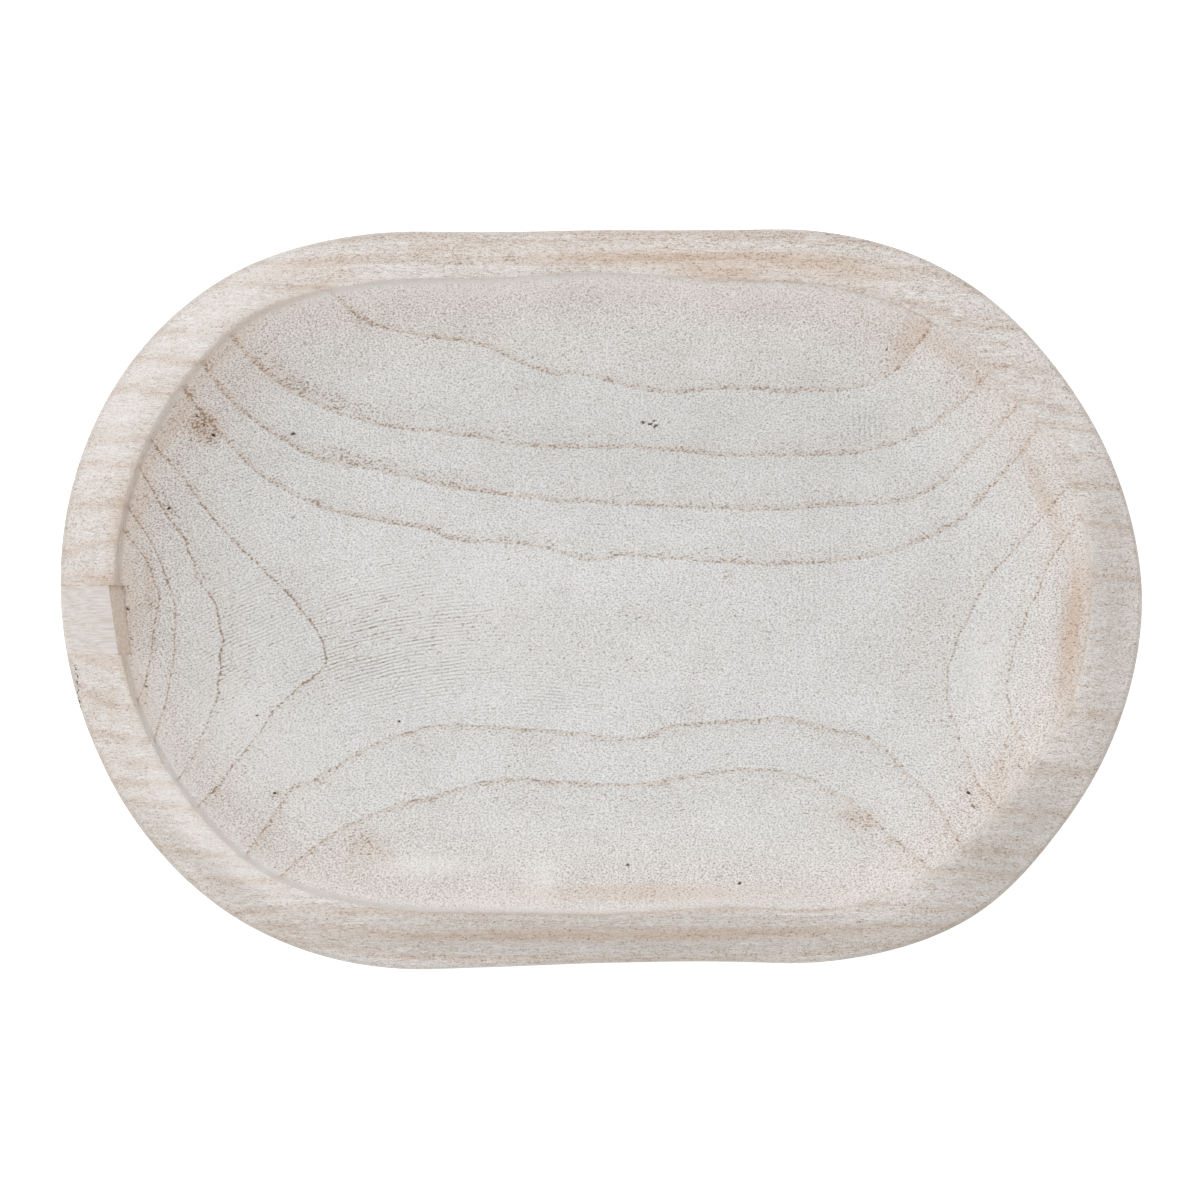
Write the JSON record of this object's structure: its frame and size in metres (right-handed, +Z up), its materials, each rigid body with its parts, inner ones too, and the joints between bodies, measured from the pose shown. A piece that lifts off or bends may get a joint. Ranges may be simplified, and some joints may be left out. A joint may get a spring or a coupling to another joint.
{
  "type": "carved wooden bowl",
  "caption": "Oblong dough bowl carved from one block of limed pale wood, thick rim, deep rounded hollow, flat foot, with a small block let into the left of the rim.",
  "frame": {"origin": "middle of the flat foot, in the plane of the table, under the middle of the rim's box", "axes": "+X along the grain and the bowl's long side towards the end without the let-in block, +Y towards the back, +Z up out of the hollow"},
  "size_m": [0.5005, 0.3422, 0.088],
  "materials": {
    "limed_wood": "open-pored pale wood, scraped and sanded by hand, limewashed white",
    "patch_wood": "clear pale wood, sanded, limewashed white",
    "glue": "hardened wood glue, tan"
  },
  "bodies": {
    "root": {"bowl_body": "limed_wood", "rim_patch": "patch_wood", "glue_line": "glue"}
  },
  "joints": []
}
